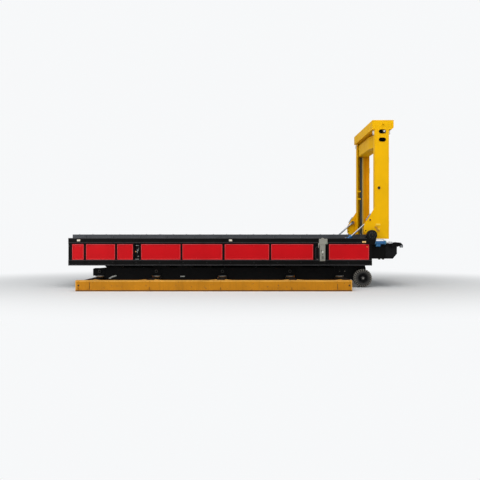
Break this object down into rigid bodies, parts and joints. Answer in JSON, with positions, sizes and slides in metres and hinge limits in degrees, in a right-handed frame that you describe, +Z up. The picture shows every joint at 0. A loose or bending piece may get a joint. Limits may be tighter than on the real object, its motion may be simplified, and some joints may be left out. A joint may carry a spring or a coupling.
{
  "type": "mobile container loading platform with belt conveyor",
  "caption": "Long low loading platform with a belt deck, red side panels, a tilting yellow portal gate, docking hooks, wheels and a floor frame.",
  "frame": {"origin": "on the floor, midway along the whole length from the bed end to the docking hook tips and midway across the floor frame", "axes": "+X along the bed towards the gate and docking hooks, +Y across the bed, +Z up"},
  "size_m": [8.825, 4.316, 4.44],
  "materials": {
    "ochre_paint": "satin",
    "foot_steel": "satin",
    "black_paint": "satin",
    "tyre_rubber": "matte",
    "deck_steel": "satin",
    "guide_steel": "satin",
    "belt_rubber": "matte",
    "roller_steel": "satin",
    "red_panel": "gloss",
    "grey_metal": "satin",
    "hose_rubber": "matte",
    "lamp_lens": "gloss",
    "gate_yellow": "satin",
    "white_roller": "satin",
    "cylinder_blue": "gloss",
    "chromed_rod": "mirror"
  },
  "bodies": {
    "root": {"floor_side_beams": "ochre_paint", "floor_cross_beams": "black_paint", "foot_plates": "ochre_paint", "foot_blocks": "foot_steel", "chassis_rails": "black_paint", "rail_lugs": "black_paint", "rail_skirts": "black_paint", "chassis_cross_tubes": "black_paint", "hanger_blocks": "black_paint", "spacer_posts": "black_paint", "axle_beam": "black_paint", "upper_side_rails": "black_paint", "lower_side_rails": "black_paint", "bed_posts": "black_paint", "end_frames": "black_paint", "bed_stringers": "black_paint", "bed_cross_members": "black_paint", "deck_uprights": "black_paint", "deck_plate": "deck_steel", "side_covers": "deck_steel", "carrying_belt": "belt_rubber", "drive_drum": "roller_steel", "tail_drum": "roller_steel", "drum_bearings": "black_paint", "return_rollers": "roller_steel", "side_guides": "deck_steel", "panels_near": "red_panel", "panels_far": "red_panel", "valve_bank": "grey_metal", "control_box": "grey_metal", "control_hoses": "hose_rubber", "marker_lamps": "lamp_lens", "pivot_brackets": "black_paint", "pivot_pins": "black_paint", "nose_box": "black_paint", "dock_brackets": "black_paint", "tilt_brackets": "black_paint"},
    "gate": {"gate_column_near": "gate_yellow", "gate_column_far": "gate_yellow", "column_guides": "guide_steel", "tilt_eye_pins": "black_paint", "gate_cap_beam": "gate_yellow", "gate_header_beam": "gate_yellow", "guide_rollers": "white_roller"},
    "tilt_barrel": {"tilt_barrels": "cylinder_blue"},
    "tilt_rod": {"tilt_rods": "chromed_rod"},
    "dock_hook": {"dock_hooks": "black_paint"},
    "dock_barrel": {"dock_barrels": "cylinder_blue"},
    "dock_rod": {"dock_rods": "chromed_rod"},
    "wheel_near": {"tyre_near": "tyre_rubber", "hub_near": "black_paint"},
    "wheel_far": {"tyre_far": "tyre_rubber", "hub_far": "black_paint"}
  },
  "joints": [
    {"name": "gate_tilt", "type": "hinge", "parent": "root", "child": "gate", "pos_m": [3.5875, 0, 1.389], "axis": [0, 1, 0], "range_deg": [-80, 0]},
    {"name": "tilt_barrel_swing", "type": "hinge", "parent": "root", "child": "tilt_barrel", "pos_m": [2.55316, 0, 0.89413], "axis": [0, 1, 0], "range_deg": [0, 1.49]},
    {"name": "tilt_rod_slide", "type": "slide", "parent": "tilt_barrel", "child": "tilt_rod", "axis": [0.749, 0, 0.6626], "range_m": [-0.5154, 0]},
    {"name": "dock_hook_swing", "type": "hinge", "parent": "root", "child": "dock_hook", "pos_m": [4.1305, 0, 1.097], "axis": [0, 1, 0], "range_deg": [-30, 0]},
    {"name": "dock_barrel_swing", "type": "hinge", "parent": "root", "child": "dock_barrel", "pos_m": [3.6375, 0, 1.189], "axis": [0, 1, 0], "range_deg": [0, 2.77]},
    {"name": "dock_rod_slide", "type": "slide", "parent": "dock_barrel", "child": "dock_rod", "axis": [1, 0, 0], "range_m": [-0.0449, 0]},
    {"name": "wheel_near_spin", "type": "hinge", "parent": "root", "child": "wheel_near", "pos_m": [3.3675, -1.11, 0.244], "axis": [0, 1, 0], "continuous": true},
    {"name": "wheel_far_spin", "type": "hinge", "parent": "root", "child": "wheel_far", "pos_m": [3.3675, 1.11, 0.244], "axis": [0, 1, 0], "continuous": true}
  ],
  "couplings": [
    {"joint": "tilt_barrel_swing", "follows": "gate_tilt", "ratio": -0.014928},
    {"joint": "tilt_rod_slide", "follows": "gate_tilt", "m_per_rad": 0.36769},
    {"joint": "dock_barrel_swing", "follows": "dock_hook_swing", "ratio": -0.082462},
    {"joint": "dock_rod_slide", "follows": "dock_hook_swing", "m_per_rad": 0.083751}
  ]
}
